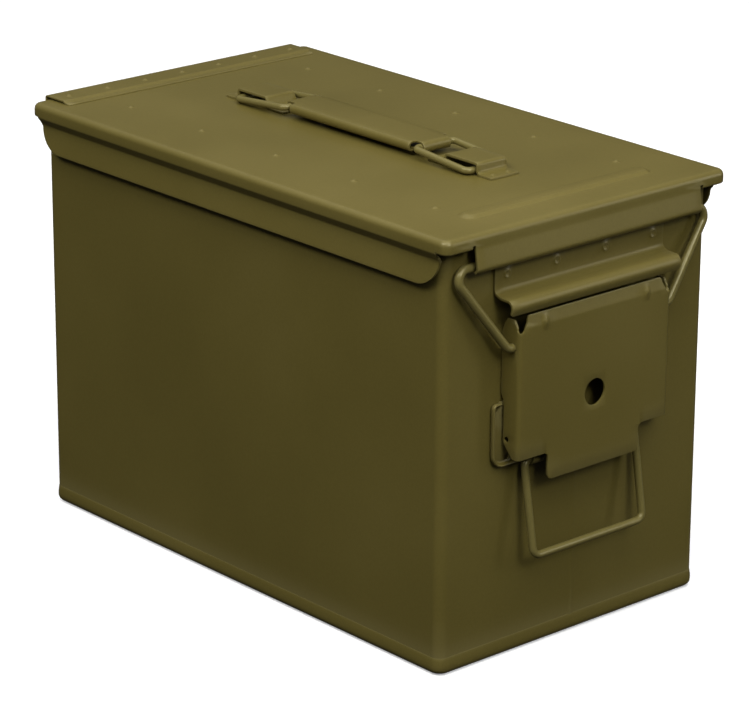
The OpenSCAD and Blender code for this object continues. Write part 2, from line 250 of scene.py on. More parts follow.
def blank(outline, holes, us, vs, extra=(), gap=0.45):
    """Triangulates a flat blank: its outline and holes, with points at the grid's crossings inside."""
    loops = [cut_at_grid(list(loop), us, vs) for loop in [outline, *holes]]
    grid = np.array([(u, v) for u in us for v in vs] + [tuple(e) for e in extra], float)
    keep = inside(grid, loops[0])
    for loop in loops[1:]:
        keep &= ~inside(grid, loop)
    for loop in loops:
        keep &= clear_of(grid, loop, gap)
    points, ring_edges = [], []
    for loop in loops:
        first = len(points)
        points += [tuple(p) for p in loop]
        ring_edges += [(first + i, first + (i + 1) % len(loop)) for i in range(len(loop))]
    points += [tuple(p) for p in grid[keep]]
    verts, _, tris, *_ = delaunay_2d_cdt([Vector(p) for p in points], ring_edges, [], 1, 1e-4)
    flat = np.array([tuple(v) for v in verts])
    middles = np.array([flat[list(t)].mean(axis=0) for t in tris])
    solid = inside(middles, loops[0])
    for loop in loops[1:]:
        solid &= ~inside(middles, loop)
    return flat, [list(t) for t, ok in zip(tris, solid) if ok]


def folded(flat, tris, place, thick, flip=False):
    """Folds a blank into a closed sheet: the outer face, the inner face and the cut edge."""
    eps = 0.02
    outer, inner = [], []
    for u, v in flat:
        p = Vector(place(u, v))
        du = Vector(place(u + eps, v)) - Vector(place(u - eps, v))
        dv = Vector(place(u, v + eps)) - Vector(place(u, v - eps))
        normal = du.cross(dv).normalized() * (-1 if flip else 1)
        outer.append(p)
        inner.append(p - normal * thick)
    n = len(flat)
    faces = list(tris) + [[i + n for i in reversed(t)] for t in tris]
    sides = dict.fromkeys((a, b) for t in tris for a, b in zip(t, t[1:] + t[:1]))
    faces += [[b, a, a + n, b + n] for a, b in sides if (b, a) not in sides]
    return outer + inner, faces


def pressed(outline, holes, us, vs, place, thick=SHEET, flip=False, extra=()):
    """A sheet part: the blank inside the outline, folded by place(u, v), as (verts, faces)."""
    flat, tris = blank(outline, holes, us, vs, extra)
    return folded(flat, tris, place, thick, flip)


def joined(*parts):
    """Several (verts, faces) as one."""
    verts, faces = [], []
    for v, f in parts:
        first = len(verts)
        verts += list(v)
        faces += [[first + i for i in face] for face in f]
    return verts, faces


def mirror_x(part):
    """A (verts, faces) and its mirror image across X = 0."""
    verts, faces = part
    other = [(-v[0], v[1], v[2]) for v in verts]
    return joined(part, (other, [list(reversed(f)) for f in faces]))


def tube(points, radius, bend, sides=20):
    """A wire along the corner points, with rounded bends and softened ends."""
    path = smooth_path(points, bend, 8)
    ways = [(b - a).normalized() for a, b in zip(path, path[1:])]
    ways = [ways[0]] + [(a + b).normalized() for a, b in zip(ways, ways[1:])] + [ways[-1]]
    side = ways[0].orthogonal().normalized()
    soft = 0.25 * radius
    stations = [(path[0], ways[0], radius - soft), (path[0] + ways[0] * soft, ways[0], radius)]
    stations += [(p, w, radius) for p, w in zip(path[1:-1], ways[1:-1])]
    stations += [(path[-1] - ways[-1] * soft, ways[-1], radius), (path[-1], ways[-1], radius - soft)]
    verts, last = [], ways[0]
    for p, way, r in stations:
        side = last.rotation_difference(way) @ side
        last = way
        across = way.cross(side).normalized()
        for k in range(sides):
            a = 2 * math.pi * k / sides
            verts.append(p + (side * math.cos(a) + across * math.sin(a)) * r)
    faces = [list(range(sides - 1, -1, -1))]
    for i in range(len(stations) - 1):
        for k in range(sides):
            m = (k + 1) % sides
            a, b = i * sides, (i + 1) * sides
            faces.append([a + k, a + m, b + m, b + k])
    faces.append([(len(stations) - 1) * sides + k for k in range(sides)])
    return verts, faces


def swept(path, section):
    """A closed section (inset, out) swept along an (x, z) path on the front wall, capped."""
    track = [Vector(p) for p in path]
    verts, faces, n = [], [], len(section)
    for i, p in enumerate(track):
        a, b = track[max(i - 1, 0)], track[min(i + 1, len(track) - 1)]
        way = (b - a).normalized()
        inward = Vector((-way.y, way.x))
        for inset, out in section:
            q = p + inward * inset
            verts.append((q.x, FRONT - out, q.y))
    for i in range(len(track) - 1):
        for k in range(n):
            m = (k + 1) % n
            faces.append([i * n + k, i * n + m, (i + 1) * n + m, (i + 1) * n + k])
    faces.append(list(range(n - 1, -1, -1)))
    faces.append([(len(track) - 1) * n + k for k in range(n)])
    return verts, faces


def weld_mark(r, height=0.65, ring=1.7):
    """Height of a spot weld's raised ring at distance r from its middle."""
    return height * math.exp(-((r - ring) / 0.75) ** 2)


def nugget(r, height=0.5, size=1.7):
    """Height of a plain raised weld dot."""
    return height * math.exp(-((r / size) ** 4))


def rings_about(centres, radii=(0, 0.6, 1.2, 1.8, 2.4, 3.0), sides=12):
    """Extra blank points around small marks."""
    out = []
    for cu, cv in centres:
        for r in radii:
            for k in range(sides if r else 1):
                a = 2 * math.pi * (k + 0.5 * (r * 10 % 2)) / sides
                out.append((cu + r * math.cos(a), cv + r * math.sin(a)))
    return out


# ---------------------------------------------------------------- materials

def node(tree, kind, links=None, **values):
    """A shader node with its settings and input values, and links {input: output socket}."""
    made = tree.nodes.new(kind)
    for key, value in values.items():
        if hasattr(made, key):
            setattr(made, key, value)
        else:
            made.inputs[key.replace("_", " ")].default_value = value
    for key, socket in (links or {}).items():
        tree.links.new(socket, made.inputs[key])
    return made


def ramp(tree, socket, stops):
    """A colour ramp with (position, colour or grey) stops."""
    made = node(tree, "ShaderNodeValToRGB", {"Fac": socket})
    elements = made.color_ramp.elements
    while len(elements) < len(stops):
        elements.new(0.5)
    for element, (position, colour) in zip(elements, stops):
        element.position = position
        grey = not isinstance(colour, tuple)
        element.color = (colour, colour, colour, 1) if grey else (*colour, 1)
    return made.outputs["Color"]


def mixed(tree, factor, a, b, blend="MIX"):
    """A colour mix of two sockets or colours."""
    made = tree.nodes.new("ShaderNodeMix")
    made.data_type = "RGBA"
    made.blend_type = blend
    for key, value in ((0, factor), (6, a), (7, b)):
        if isinstance(value, bpy.types.NodeSocket):
            tree.links.new(value, made.inputs[key])
        else:
            made.inputs[key].default_value = value if key == 0 else (*value, 1)
    return made.outputs[2]


OLIVE = (0.118, 0.094, 0.022)
OLIVE_LIGHT = (0.135, 0.112, 0.032)
# Paler olive painted on convex edges as a painted highlight, not worn paint.
OLIVE_PAINTED_HIGHLIGHT = (0.2, 0.17, 0.07)


def olive_paint(name, base=OLIVE, rough=0.36):
    """Semi-gloss enamel: soft colour drift, fine orange peel, and a paler colour on convex edges as a
    painted highlight.
    """
    material = bpy.data.materials.new(name)
    material.use_nodes = True
    tree = material.node_tree
    shader = tree.nodes["Principled BSDF"]
    place = node(tree, "ShaderNodeTexCoord").outputs["Object"]
    drift = node(tree, "ShaderNodeTexNoise", {"Vector": place}, Scale=9.0, Detail=3.0)
    grain = node(tree, "ShaderNodeTexNoise", {"Vector": place}, Scale=900.0, Detail=2.0)
    peel = node(tree, "ShaderNodeTexNoise", {"Vector": place}, Scale=420.0, Detail=1.0)
    lighter = tuple(min(1, c * k) for c, k in zip(base, (1.08, 1.08, 1.14)))
    darker = tuple(c * 0.94 for c in base)
    tone = ramp(tree, drift.outputs["Fac"], [(0.35, darker), (0.52, base), (0.7, lighter)])
    speck = ramp(tree, grain.outputs["Fac"], [(0.3, 0.94), (0.7, 1.04)])
    colour = mixed(tree, 1.0, tone, speck, "MULTIPLY")
    # Painted highlight: convex edges, found by pointiness, get the paler olive where light would catch
    # them.
    edge = node(tree, "ShaderNodeNewGeometry").outputs["Pointiness"]
    painted_edge_highlight = ramp(tree, edge, [(0.515, 0.0), (0.58, 0.5)])
    tree.links.new(mixed(tree, painted_edge_highlight, colour, OLIVE_PAINTED_HIGHLIGHT), shader.inputs["Base Color"])
    low, high = rough - 0.06, rough + 0.07
    tree.links.new(ramp(tree, drift.outputs["Fac"], [(0.3, low), (0.7, high)]),
                   shader.inputs["Roughness"])
    bump = node(tree, "ShaderNodeBump", {"Height": peel.outputs["Fac"]}, Strength=0.06,
                Distance=0.0004)
    tree.links.new(bump.outputs["Normal"], shader.inputs["Normal"])
    shader.inputs["Specular IOR Level"].default_value = 0.5
    shader.inputs["Specular Tint"].default_value = (1.0, 0.93, 0.62, 1)
    return material


def seal_rubber():
    """Matt black rubber with a fine moulded grain."""
    material = bpy.data.materials.new("seal_rubber")
    material.use_nodes = True
    tree = material.node_tree
    shader = tree.nodes["Principled BSDF"]
    place = node(tree, "ShaderNodeTexCoord").outputs["Object"]
    grain = node(tree, "ShaderNodeTexNoise", {"Vector": place}, Scale=500.0, Detail=4.0)
    tree.links.new(ramp(tree, grain.outputs["Fac"], [(0.3, (0.012, 0.012, 0.012)),
                                                     (0.8, (0.035, 0.034, 0.032))]),
                   shader.inputs["Base Color"])
    tree.links.new(ramp(tree, grain.outputs["Fac"], [(0.3, 0.62), (0.7, 0.8)]),
                   shader.inputs["Roughness"])
    bump = node(tree, "ShaderNodeBump", {"Height": grain.outputs["Fac"]}, Strength=0.2,
                Distance=0.0003)
    tree.links.new(bump.outputs["Normal"], shader.inputs["Normal"])
    return material


def plated_pin():
    """Dull zinc plate with drawn lines along the pin."""
    material = bpy.data.materials.new("plated_pin")
    material.use_nodes = True
    tree = material.node_tree
    shader = tree.nodes["Principled BSDF"]
    place = node(tree, "ShaderNodeTexCoord").outputs["Object"]
    stretch = node(tree, "ShaderNodeMapping", {"Vector": place}, Scale=(40.0, 900.0, 900.0))
    lines = node(tree, "ShaderNodeTexNoise", {"Vector": stretch.outputs["Vector"]}, Scale=1.0,
                 Detail=3.0)
    tree.links.new(ramp(tree, lines.outputs["Fac"], [(0.3, (0.36, 0.35, 0.32)),
                                                     (0.7, (0.52, 0.51, 0.47))]),
                   shader.inputs["Base Color"])
    tree.links.new(ramp(tree, lines.outputs["Fac"], [(0.3, 0.32), (0.7, 0.5)]),
                   shader.inputs["Roughness"])
    bump = node(tree, "ShaderNodeBump", {"Height": lines.outputs["Fac"]}, Strength=0.1,
                Distance=0.0002)
    tree.links.new(bump.outputs["Normal"], shader.inputs["Normal"])
    shader.inputs["Metallic"].default_value = 1.0
    return material


PAINT = olive_paint("olive_paint")
PAINT_WIRE = olive_paint("olive_paint_wire", OLIVE_LIGHT, 0.3)
RUBBER = seal_rubber()
PIN = plated_pin()


# ---------------------------------------------------------------- body

def plan(x, y0, y1, r, xs, ys, n=8):
    """A rounded rectangle seen from above: points with their outward normals, anticlockwise."""
    out = [((u, y0), (0, -1)) for u in xs]
    out += [((x - r + r * c, y0 + r + r * s), (c, s)) for c, s in unit_arc(-90, 0, n)]
    out += [((x, v), (1, 0)) for v in ys]
    out += [((x - r + r * c, y1 - r + r * s), (c, s)) for c, s in unit_arc(0, 90, n)]
    out += [((u, y1), (0, 1)) for u in reversed(xs)]
    out += [((r - x + r * c, y1 - r + r * s), (c, s)) for c, s in unit_arc(90, 180, n)]
    out += [((-x, v), (-1, 0)) for v in reversed(ys)]
    out += [((r - x + r * c, y0 + r + r * s), (c, s)) for c, s in unit_arc(180, 270, n)]
    return out


def unit_arc(a0, a1, n):
    return arc(0, 0, 1, a0, a1, n)


def stacked(base, levels, lift=None):
    """Rings of a plan at (outset, z) levels, and the walls between them."""
    verts, faces, n = [], [], len(base)
    for outset, z in levels:
        for (x, y), (nx, ny) in base:
            more = lift(x, y, z) if lift else 0.0
            verts.append((x + nx * (outset + more), y + ny * (outset + more), z))
    for i in range(len(levels) - 1):
        for k in range(n):
            m = (k + 1) % n
            faces.append([i * n + k, i * n + m, (i + 1) * n + m, (i + 1) * n + k])
    return verts, faces


def body_shell():
    """The wrapped wall, with the seam of its butt weld down the front."""
    seam = [-3, -1.6, -0.8, 0, 0.8, 1.6, 3]
    xs = merged(steps(-HALF_W + CORNER_R + 1, HALF_W - CORNER_R - 1, 14) + seam, 0.7)
    ys = steps(FRONT + CORNER_R + 1, REAR - CORNER_R - 1, 14)
    base = plan(HALF_W, FRONT, REAR, CORNER_R, xs, ys)
    low = SHELL_LOW.z
    zs = steps(low, RIM_Z - 1, 14)
    levels = [(0, z) for z in zs] + [(-0.15, RIM_Z - 0.3), (-0.5, RIM_Z)]
    levels += [(0.3 - SHEET, RIM_Z), (-SHEET, RIM_Z - 0.5), (-SHEET, low)]

    def seam_bead(x, y, z):
        at_front = y < FRONT + 1 and z < RIM_Z - 20
        return 0.22 * math.exp(-((x / 1.1) ** 2)) if at_front else 0.0

    verts, faces = stacked(base, levels, seam_bead)
    n, last = len(base), (len(levels) - 1) * len(base)
    faces += [[last + k, last + (k + 1) % n, (k + 1) % n, k] for k in range(n)]
    mesh_piece("wall", "body", PAINT, verts, faces, ["body_shell"], bevel=0)


def bottom_pan():
    """The pressed bottom: round lower edge, rim outside the wall, shallow recess underneath."""
    top = edges("bottom_pan")[1].z
    bulge = edges("bottom_pan")[1].x - HALF_W
    recess_run = 14.0       # how far in the plan of the recess lies
    recess_reach = 21.0     # just past the innermost level, so that no two points cross
    xs = steps(-HALF_W + CORNER_R + recess_reach, HALF_W - CORNER_R - recess_reach, 18)
    ys = steps(FRONT + CORNER_R + recess_reach, REAR - CORNER_R - recess_reach, 18)
    base = plan(HALF_W, FRONT, REAR, CORNER_R, xs, ys)
    inner = plan(HALF_W - recess_run, FRONT + recess_run, REAR - recess_run, CORNER_R, xs, ys)
    edge = 3.6
    under = [(-20.0, 0.9), (-16.0, 0.9), (-15.2, 0.75), (-14.2, 0.15), (-13.4, 0.0), (-edge, 0.0)]
    round_edge = [(bulge - edge + edge * c, edge + edge * s) for c, s in unit_arc(-80, 0, 7)]
    rim = [(bulge, 4.6), (bulge * 0.86, 6.0), (bulge * 0.55, 7.4), (0.12, top - 0.3), (0.04, top)]
    floor_top = [(0.02, top), (0.02, 3.0), (-3.0, 3.0), (-3.6, SHEET), (-13.4, SHEET),
                 (-16.0, 2.1), (-20.0, 2.1)]
    levels = under + round_edge + rim + floor_top
    verts, faces = [], []
    n = len(base)
    for outset, z in levels:
        t = max(-outset / recess_run, 0.0)
        for ((x, y), (nx, ny)), ((ix, iy), _) in zip(base, inner):
            if outset < 0:
                verts.append((x + (ix - x) * t, y + (iy - y) * t, z))
            else:
                verts.append((x + nx * outset, y + ny * outset, z))
    for i in range(len(levels) - 1):
        for k in range(n):
            m = (k + 1) % n
            faces.append([i * n + k, i * n + m, (i + 1) * n + m, (i + 1) * n + k])
    faces.append(list(range(n - 1, -1, -1)))
    faces.append([(len(levels) - 1) * n + k for k in range(n)])
    mesh_piece("pan", "body", PAINT, verts, faces, ["bottom_pan"], bevel=0)


def front_place(track, lift=None):
    """Folds a blank (x, length) along a track of (distance in front of the wall, z)."""
    def place(u, v):
        out, z = track.at(v)
        more = lift(u, v) if lift else 0.0
        return (u, FRONT - out - more, z)
    return place


def catch():
    """The strip welded to the wall and rolled out over the lever, with four weld marks."""
    half = edges("latch_catch")[1].x
    path = smooth_path([(1.2, 201.5), (1.2, 187.2), (5.2, 185.9), (9.6, 185.7)], 5.2)
    path = path[:-1] + [Vector(p) for p in arc(9.8, 181.9, 3.9, 95, -20, 10)] + [Vector((12.8, 178.3))]
    track = Track(path)
    welds = [(x, 201.5 - 195.3) for x in (-48.3, -16.1, 16.1, 48.3)]

    def lift(u, v):
        return sum(weld_mark(math.hypot(u - a, v - b)) for a, b in welds if abs(u - a) < 5)

    length = track.length
    outline = rounded_outline([(-half, 0), (half, 0), (half, length), (-half, length)], 1.2)
    part = pressed(outline, [], steps(-half, half, 6), track.bends(2.5), front_place(track, lift),
                   flip=True, extra=rings_about(welds))
    mesh_piece("catch", "body", PAINT, *part, ["latch_catch"])


def bracket():
    """The shallow tray behind the lever's foot: a floor with holes for a seal, and two rims."""
    low, high = edges("lever_bracket")
    half, z0, z1 = high.x, low.z, high.z
    deep = FRONT - low.y
    path = smooth_path([(-51.6, z1), (-half, z1), (-half, z0), (-41.2, z0)], 7, 12)
    section = [(2.6, 0.02), (1.8, 0.02), (0.8, 0.3), (0.2, 1.0), (0.0, deep - 1.0), (0.15, deep - 0.35),
               (0.65, deep), (1.1, deep - 0.3), (1.3, deep - 0.9), (1.5, 1.6), (1.9, 1.28), (2.6, 1.2)]
    rim = mirror_x(swept(path, section))
    side, foot, open_half, open_z = half - 2.2, z0 + 1.9, 41.0, 103.6
    outline = [(-open_half, open_z), (-open_half, foot)] + arc(6 - side, foot + 6, 6, 270, 180, 5)
    outline += arc(6 - side, z1 - 8, 6, 180, 90, 5) + [(-51.4, z1 - 2), (-51.4, z1)]
    outline += [(-u, v) for u, v in reversed(outline)]
    holes = [arc(x, 103.2, 1.4, 0, 360, 16)[:-1] for x in (-46.5, 46.5)]
    floor_plate = pressed(outline, holes, steps(-half, half, 10), steps(z0, z1, 8),
                          lambda u, v: (u, FRONT - 1.18, v), thick=1.14)
    mesh_piece("latch_tray", "body", PAINT, *joined(rim, floor_plate), ["lever_bracket"], bevel=0.2)


def handle_loops():
    """Rolled loops round the ends of the front handle's wire, their feet on the tray."""
    out, z = FRONT - HANDLE_PIVOT.y, HANDLE_PIVOT.z
    r = 3.16
    path = smooth_path([(2.42, z + 11), (2.42, z + 3.9), (2.95, z + 3.13)], 1.0, 6)[:-1]
    track = Track(path + [Vector(p) for p in arc(out, z, r, 98, -198, 24)])
    for side, x0, x1 in (("left", -33.5, -26.5), ("right", 26.5, 33.5)):
        outline = rounded_outline([(x0, 0), (x1, 0), (x1, track.length), (x0, track.length)], 0.8)
        part = pressed(outline, [], steps(x0, x1, 2.4), track.bends(1.6), front_place(track),
                       thick=1.15, flip=True)
        mesh_piece("rolled_loop_" + side, "body", PAINT, *part, ["handle_loop_" + side], bevel=0.2)


# ---------------------------------------------------------------- latch

def lever():
    """Pressed lever: one blank with folded flanges, a bent lip, a tab and its holes."""
    low, high = edges("latch_lever")
    half, tab_z = high.x, low.z
    face = FRONT - low.y
    bend = 2.3
    flat_half = half - bend
    turn = bend * math.pi / 2
    lip_start = 160.0
    lip = Track(smooth_path([(face, lip_start), (face, 170.4), (HOOK_OUT + 0.9, HOOK.z)], 3.0, 8))

    def flange_u(out):
        """How far across the blank a distance in front of the wall is."""
        return flat_half + turn + face - bend - out

    def across(u):
        """Sideways and inwards place of a distance across the blank."""
        a = abs(u)
        sign = 1 if u >= 0 else -1
        if a <= flat_half:
            return u, 0.0
        if a <= flat_half + turn:
            t = (a - flat_half) / bend
            return sign * (flat_half + bend * math.sin(t)), bend * (1 - math.cos(t))
        return sign * half, bend + a - flat_half - turn

    def place(u, v):
        x, inward = across(u)
        if abs(u) < flat_half - 0.3 and v > lip_start:
            out, z = lip.at(v - lip_start)
        else:
            out, z = face, v
        dent = max(0.0, 1 - abs(abs(u) - 33.8) / 2.6) * max(0.0, 1 - abs(v - 171.4) / 4.4)
        return (x, FRONT - (out - inward) - 1.15 * dent, z + 0.7 * dent)

    tab = 30.5
    notch_u, notch_v, notch_r = flat_half + 1.1, 170.7, 2.4
    lip_v = lip_start + lip.length
    right = arc(tab - 3, tab_z + 3, 3, -90, 0, 6) + arc(tab + 2.6, 102.4, 2.6, 180, 90, 6)
    right += [(flange_u(9), 105.0), (flange_u(3.1), 111.4), (flange_u(2.6), 112.6),
              (flange_u(2.6), 133.2), (flange_u(0.7), 136.5), (flange_u(0.7), 167), (flange_u(2.6), 172),
              (flange_u(4.4), 174.5), (flange_u(8.8), 174.5)]
    right += arc(notch_u, notch_v, notch_r, 5, -175, 12)
    right += [(45.5, 172.6), (44.9, 174), (44.4, lip_v - 0.8), (43.4, lip_v)]
    outline = mirrored(right)
    holes = [arc(0, 128.5, 6.8, 0, 360, 40)[:-1]]
    bail_u, seal_u = flange_u(FRONT - BAIL_PIVOT.y), flange_u(4.9)
    for sign in (-1, 1):
        holes.append(arc(sign * bail_u, BAIL_PIVOT.z, 2.3, 0, 360, 20)[:-1])
        holes.append(arc(sign * seal_u, 114, 1.5, 0, 360, 16)[:-1])
    bend_us = steps(flat_half, flat_half + turn, 0.6)
    flange_us = steps(flat_half + turn, flange_u(0.7), 3)[1:]
    us = [s * u for s in (-1, 1) for u in bend_us + flange_us] + steps(-flat_half, flat_half, 6)
    us += [s * (33.8 + d) for s in (-1, 1) for d in (-2.6, -1.7, -0.8, 0, 0.8, 1.7, 2.6)]
    vs = steps(tab_z, lip_start, 7) + [lip_start + s for s in lip.bends(0.8)]
    part = pressed(outline, holes, merged(us, 0.3), merged(vs, 0.3), place)
    mesh_piece("lever", "lever", PAINT, *part, ["latch_lever"])


def bail():
    """Bail wire: a bar behind the flap, slanting legs, and ends turned into the lever's flanges."""
    radius = 2.2
    bar_z = edges("latch_bail")[1].z - radius
    bar_y = FRONT - 3.0
    reach = 86.3
    foot = 53.6
    base = BAIL_PIVOT
    points = [(43, base.y, base.z), (foot, base.y, base.z), (reach, bar_y, bar_z)]
    points += [(-x, y, z) for x, y, z in reversed(points)]
    mesh_piece("bail_wire", "bail", PAINT_WIRE, *tube(points, radius, 5.0, 24), ["latch_bail"], bevel=0)


def front_handle():
    """Wire handle that hangs from the rolled loops."""
    radius = 1.9
    low, high = edges("front_handle")
    half = high.x - radius
    bottom_y, bottom_z = low.y + radius, low.z + radius
    top = HANDLE_PIVOT
    points = [(24.2, top.y, top.z), (half, top.y, top.z), (half, bottom_y, bottom_z)]
    points += [(-x, y, z) for x, y, z in reversed(points)]
    mesh_piece("carry_wire", "carry_handle", PAINT_WIRE, *tube(points, radius, 4.2, 22),
               ["front_handle"], bevel=0)


# ---------------------------------------------------------------- lid

BEAD_R = 3.2
BEAD_OUT = edges("lid_shell")[1].x - HALF_W
FRONT_OUT = 7.5
FLAP_HALF = 74.3
NOTCH = FLAP_HALF + 2.0
LID_CORNER_R = 4.6
SKIRT_END = 152.4
SKIRT_CORNER_R = 15.0
RAIL_WELD_X, RAIL_WELD_PITCH = 60, 58.2
RIB_Y, RIB_HALF, RIB_WIDE, RIB_HIGH = -136, 56, 4.5, 1.5


def top_height(x, y):
    """Height of the lid's top above its plain level: the rail welds and the rib."""
    height = 0.0
    for cx in (-RAIL_WELD_X, RAIL_WELD_X):
        for k in range(-2, 3):
            r = math.hypot(x - cx, y - RAIL_WELD_PITCH * k)
            if r < 5:
                height += nugget(r, 0.7, 1.5)
    along = max(abs(x) - RIB_HALF, 0.0)
    r = math.hypot(along, y - RIB_Y)
    height += RIB_HIGH * math.exp(-((r / RIB_WIDE) ** 6))
    return height


def lid_plan():
    """The lid's outline from above, with points where the skirts' rounded ends need them."""
    x_out, y_front, y_rear = HALF_W + BEAD_OUT, FRONT - FRONT_OUT, REAR + BEAD_OUT
    x_last = x_out - LID_CORNER_R - 0.6
    xs = [-x_last, -(NOTCH + 4), -NOTCH] + steps(-FLAP_HALF, FLAP_HALF, 6) + [NOTCH, NOTCH + 4, x_last]
    ends = [SKIRT_END - SKIRT_CORNER_R * (1 - math.cos(math.radians(a))) for a in range(0, 91, 9)]
    plain = SKIRT_END - SKIRT_CORNER_R
    ys = merged([-e for e in ends] + ends + steps(-plain, plain, 8), 0.15)
    ys = [y_front + LID_CORNER_R + 0.8] + ys + [y_rear - LID_CORNER_R - 0.8]
    return plan(x_out, y_front, y_rear, LID_CORNER_R, xs, ys, 8)


def lid_top(bm, rim):
    """Fills the top inside its rim, with closer points at the welds and the rib."""
    loop = [(v.co.x, v.co.y) for v in rim]
    n = len(loop)
    fine = [-3, -2.2, -1.5, -0.8, 0, 0.8, 1.5, 2.2, 3]
    us = [s * (RAIL_WELD_X + d) for s in (-1, 1) for d in fine + [-5, 5]] + steps(-84, 84, 8)
    vs = [RAIL_WELD_PITCH * k + d for k in range(-2, 3) for d in fine] + steps(-150, 150, 8)
    vs += [RIB_Y + s * d for s in (-1, 1) for d in (0, 1, 2, 3, 3.8, 4.6, 5.5, 6.5)]
    us, vs = merged(us, 0.5), merged(vs, 0.5)
    grid = np.array([(u, v) for u in us for v in vs], float)
    loop_points = np.array(loop)
    grid = grid[inside(grid, loop_points) & clear_of(grid, loop_points, 1.5)]
    points = loop + [tuple(p) for p in grid]
    rim_edges = [(i, (i + 1) % n) for i in range(n)]
    flat, _, tris, *_ = delaunay_2d_cdt([Vector(p) for p in points], rim_edges, [], 1, 1e-4)
    made = []
    for i, p in enumerate(flat):
        made.append(rim[i] if i < n else bm.verts.new((p.x, p.y, LID_TOP + top_height(p.x, p.y))))
    for t in tris:
        bm.faces.new([made[i] for i in t])


def hang(bm, base, rim, indices, track, samples, reach=None):
    """A side of the lid below the rim's chosen points, with its section along the track."""
    columns = []
    for k in indices:
        (x, y), (nx, ny) = base[k]
        share = reach(y) / track.length if reach else 1.0
        column = [rim[k]]
        for s in samples[1:]:
            outset, z = track.at(s * share)
            column.append(bm.verts.new((x + nx * outset, y + ny * outset, z)))
        columns.append(column)
    for left, right in zip(columns, columns[1:]):
        for i in range(len(samples) - 1):
            bm.faces.new([left[i], left[i + 1], right[i + 1], right[i]])


def lid_sides(bm, base, rim, join_z):
    """The flap, the two long skirts, and the short curls at the corners and along the rear."""
    long_side = Track(smooth_path([(0, join_z), (0, 213.6), (-3.2, 209.3), (-1.4, SKIRT_Z)], 1.3, 5))
    flap = Track(smooth_path([(0, join_z), (0.1, 213.5), (1.7, 203.3), (-0.4, 201.6)], 2.4, 8))
    curl = Track(smooth_path([(0, join_z), (0, 213.9), (-2.6, 213.1)], 1.4, 6))

    def skirt_reach(y):
        t = SKIRT_CORNER_R - (SKIRT_END - abs(y))
        full = long_side.length
        if t <= 0:
            return full
        return full - SKIRT_CORNER_R + math.sqrt(max(SKIRT_CORNER_R * SKIRT_CORNER_R - t * t, 0.0))

    def chosen(test):
        return [k for k, ((x, y), (nx, ny)) in enumerate(base) if test(x, y, nx, ny)]

    def corner(side):
        """The points of a front corner, from the flap's notch to the skirt's end."""
        return chosen(lambda x, y, nx, ny: x * side > 0 and y < -150 and abs(x) >= NOTCH - 0.01
                      and not (nx * side > 0.99 and abs(y) < SKIRT_END - 0.01))

    front = chosen(lambda x, y, nx, ny: ny < -0.99 and abs(x) <= FLAP_HALF + 0.01)
    hang(bm, base, rim, front, flap, flap.bends(1.2))
    for side in (1, -1):
        run = chosen(lambda x, y, nx, ny: nx * side > 0.99 and abs(y) <= SKIRT_END + 0.01)
        hang(bm, base, rim, run, long_side, long_side.bends(1.4), skirt_reach)
    rear = chosen(lambda x, y, nx, ny: y > 150 and not (abs(nx) > 0.99 and y < SKIRT_END - 0.01))
    for run in (corner(1), left_order(corner(-1), len(base)), rear):
        hang(bm, base, rim, run, curl, curl.bends(0.8))


def left_order(run, n):
    """The left front corner's points in order, where the plan's list wraps round."""
    late = [k for k in run if k > n / 2]
    early = [k for k in run if k <= n / 2]
    return late + early


def lid():
    """One pressed skin: top, rounded edge, and below it the skirts, the flap and the short curls."""
    join_z = LID_TOP - BEAD_R - 2.0
    base = lid_plan()
    n = len(base)
    bm = bmesh.new()
    turns = [math.radians(d) for d in range(0, 91, 15)]
    levels = [(BEAD_R * (1 - math.sin(a)), LID_TOP - BEAD_R * (1 - math.cos(a))) for a in turns]
    rims = [[bm.verts.new((x - nx * inset, y - ny * inset, z)) for (x, y), (nx, ny) in base]
            for inset, z in levels + [(0.0, join_z)]]
    for upper, lower in zip(rims, rims[1:]):
        for k in range(n):
            m = (k + 1) % n
            bm.faces.new([upper[k], lower[k], lower[m], upper[m]])
    lid_top(bm, rims[0])
    lid_sides(bm, base, rims[-1], join_z)

    data = bpy.data.meshes.new("lid_skin")
    bm.to_mesh(data)
    bm.free()
    data.transform(Matrix.Scale(MM, 4))
    piece = bpy.data.objects.new("lid_skin", data)
    bpy.context.scene.collection.objects.link(piece)
    solid = piece.modifiers.new("sheet", "SOLIDIFY")
    solid.thickness = SHEET * MM
    solid.offset = -1
    solid.use_even_offset = False
    soft = piece.modifiers.new("edge", "BEVEL")
    soft.width = 0.3 * MM
    soft.segments = 2
    soft.limit_method = "ANGLE"
    soft.angle_limit = math.radians(55)
    bake_modifiers(piece)
    piece.data.materials.append(PAINT)
    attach(piece, "lid")
    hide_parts("lid_shell")


